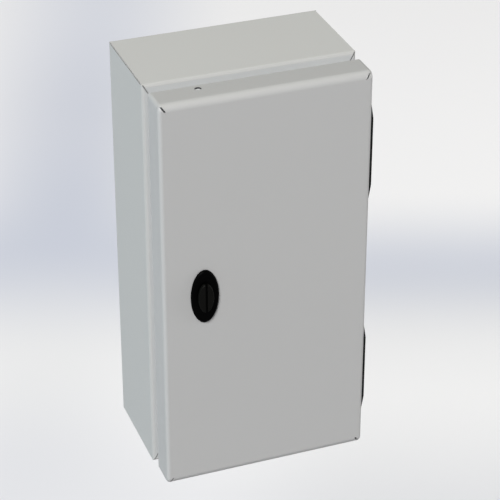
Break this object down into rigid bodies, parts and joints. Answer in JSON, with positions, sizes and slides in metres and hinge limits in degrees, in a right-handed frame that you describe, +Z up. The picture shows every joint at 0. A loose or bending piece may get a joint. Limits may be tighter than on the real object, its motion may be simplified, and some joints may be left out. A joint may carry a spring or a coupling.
{
  "type": "steel wall enclosure",
  "caption": "Narrow upright sheet-steel wall box with a flush hinged door, oval cam lock, inner mounting plate and a gland plate in the bottom.",
  "frame": {"origin": "centre of the four wall fixing holes, on the back face of the body", "axes": "+X to the right of a person in front of the door, +Y into the wall, +Z up; the door faces -Y"},
  "size_m": [0.2115, 0.1462, 0.4],
  "materials": {
    "grey_paint": "fine-textured light grey powder coat on sheet steel",
    "black_casting": "black coated zinc die casting, satin",
    "zinc_steel": "bright zinc-plated steel",
    "galvanised_sheet": "galvanised sheet steel with faint spangle",
    "black_rubber": "dull black rubber",
    "sealing_foam": "dark grey foamed-in-place sealing cord"
  },
  "bodies": {
    "enclosure": {"body_shell": "grey_paint", "mounting_plate": "galvanised_sheet", "mounting_studs": "zinc_steel", "mounting_washers": "zinc_steel", "mounting_nuts": "zinc_steel", "gland_gasket": "black_rubber", "gland_plate": "galvanised_sheet", "gland_studs": "zinc_steel", "gland_washers": "zinc_steel", "gland_nuts": "zinc_steel", "body_earth_stud": "zinc_steel", "body_earth_washer": "zinc_steel", "body_earth_nut": "zinc_steel", "hinge_body_leaf_upper": "black_casting", "hinge_body_leaf_lower": "black_casting", "hinge_pin_upper": "zinc_steel", "hinge_pin_lower": "zinc_steel", "hinge_body_screws_upper": "zinc_steel", "hinge_body_screws_lower": "zinc_steel"},
    "door": {"door_panel": "grey_paint", "door_gasket": "sealing_foam", "door_earth_stud": "zinc_steel", "door_earth_washer": "zinc_steel", "door_earth_nut": "zinc_steel", "hinge_door_leaf_upper": "black_casting", "hinge_door_leaf_lower": "black_casting", "hinge_door_screws_upper": "zinc_steel", "hinge_door_screws_lower": "zinc_steel", "lock_rose": "black_casting", "lock_seal": "black_rubber", "lock_nut": "zinc_steel"},
    "lock": {"lock_knob": "black_casting", "lock_cam": "zinc_steel", "cam_washer": "zinc_steel", "cam_screw": "zinc_steel"}
  },
  "joints": [
    {"name": "door_swing", "type": "hinge", "parent": "enclosure", "child": "door", "pos_m": [0.106, -0.108, 0], "axis": [0, 0, 1], "range_deg": [0, 180]},
    {"name": "lock_turn", "type": "hinge", "parent": "door", "child": "lock", "pos_m": [-0.06, -0.14, 0.0035], "axis": [0, 1, 0], "range_deg": [0, 90]}
  ]
}
